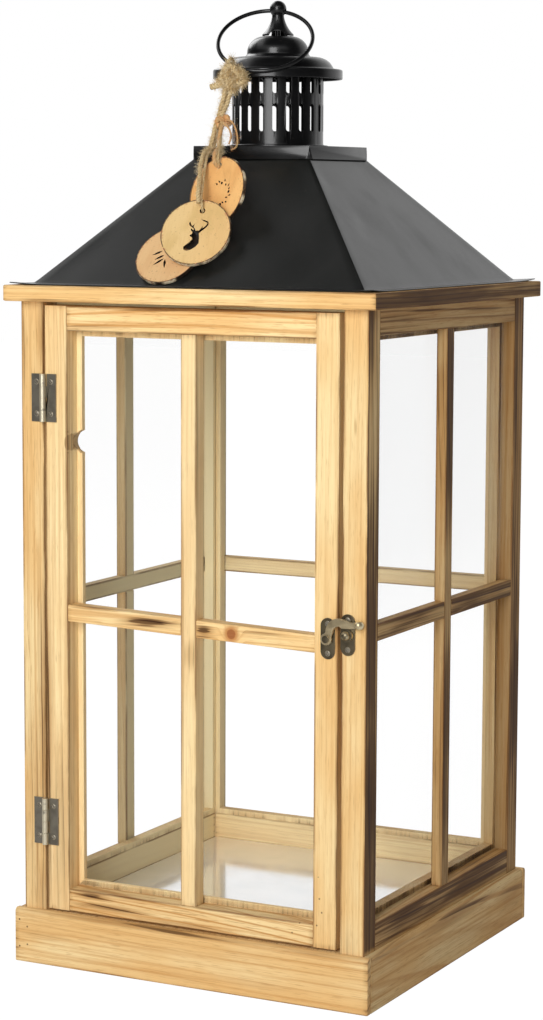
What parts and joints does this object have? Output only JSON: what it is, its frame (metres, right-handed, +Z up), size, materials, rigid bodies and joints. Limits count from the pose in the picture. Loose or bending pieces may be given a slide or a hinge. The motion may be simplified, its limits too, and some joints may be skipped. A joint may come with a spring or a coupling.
{
  "type": "lantern",
  "caption": "Square wooden lantern with glazed panes, a hinged door with a swing latch, a black metal roof with a slotted vent and cap, a carrying ring and pierced wooden tags on twine.",
  "frame": {"origin": "centre of the footprint at the underside of the plinth", "axes": "+Z up, the door faces -Y, +X to the right of the door"},
  "size_m": [0.308, 0.308, 0.7334],
  "materials": {
    "pine": "flamed pine, matt",
    "dark_pine": "rough sawn, matt",
    "floor_plate": "varnished sheet, semi-gloss",
    "glass": "clear float glass",
    "roof_paint": "matt black paint",
    "vent_paint": "gloss black paint",
    "bronze": "dark bronze plate, worn",
    "antique_brass": "antique brass, satin",
    "jute": "twisted jute twine, fuzzy",
    "tag_wood": "sliced branch with its bark, sanded"
  },
  "bodies": {
    "lantern": {"plinth_front_back_boards": "pine", "plinth_side_boards": "pine", "base_battens": "dark_pine", "floor_board": "pine", "floor_plate": "floor_plate", "front_left_post": "pine", "front_right_post": "pine", "back_left_post": "pine", "back_right_post": "pine", "left_top_rail": "pine", "left_bottom_rail": "pine", "left_mullion": "pine", "left_crossbar": "pine", "left_glass": "glass", "left_beads": "pine", "right_top_rail": "pine", "right_bottom_rail": "pine", "right_mullion": "pine", "right_crossbar": "pine", "right_glass": "glass", "right_beads": "pine", "back_top_rail": "pine", "back_bottom_rail": "pine", "back_mullion": "pine", "back_crossbar": "pine", "back_glass": "glass", "back_beads": "pine", "top_board_front": "pine", "top_board_back": "pine", "top_board_left": "pine", "top_board_right": "pine", "roof_sheet": "roof_paint", "roof_collar": "vent_paint", "vent_tube": "vent_paint", "vent_cap": "vent_paint", "finial": "vent_paint", "finial_nut": "vent_paint", "hinge_post_leaves": "bronze", "hinge_pins": "bronze", "post_screws": "bronze", "catch_plate": "antique_brass"},
    "door": {"door_hinge_stile": "pine", "door_latch_stile": "pine", "door_top_rail": "pine", "door_bottom_rail": "pine", "door_mullion": "pine", "door_crossbar": "pine", "door_glass": "glass", "door_beads": "pine", "hinge_door_leaves": "bronze", "door_screws": "bronze", "latch_plate": "antique_brass"},
    "hook": {"latch_hook": "antique_brass"},
    "ring": {"hanging_ring": "vent_paint"},
    "tags": {"tag_twine": "jute", "back_tag_twine": "jute", "tag_front": "tag_wood", "tag_back": "tag_wood", "tag_low": "tag_wood"}
  },
  "joints": [
    {"name": "door_hinge", "type": "hinge", "parent": "lantern", "child": "door", "pos_m": [-0.1241, -0.1467, 0.273], "axis": [0, 0, -1], "range_deg": [0, 170]},
    {"name": "latch_pivot", "type": "hinge", "parent": "door", "child": "hook", "pos_m": [0.1139, -0.1471, 0.2717], "axis": [0, -1, 0], "range_deg": [0, 110]},
    {"name": "ring_swing", "type": "hinge", "parent": "lantern", "child": "ring", "pos_m": [-0.003, 0, 0.7255], "axis": [-0.9728, -0.2068, 0.1045], "range_deg": [0, 131]},
    {"name": "tags_hang", "type": "hinge", "parent": "ring", "child": "tags", "pos_m": [-0.0145, -0.0539, 0.6834], "axis": [-0.9728, -0.2068, 0.1045], "range_deg": [-112, 0]}
  ],
  "couplings": [
    {"joint": "tags_hang", "follows": "ring_swing", "ratio": -0.85}
  ]
}
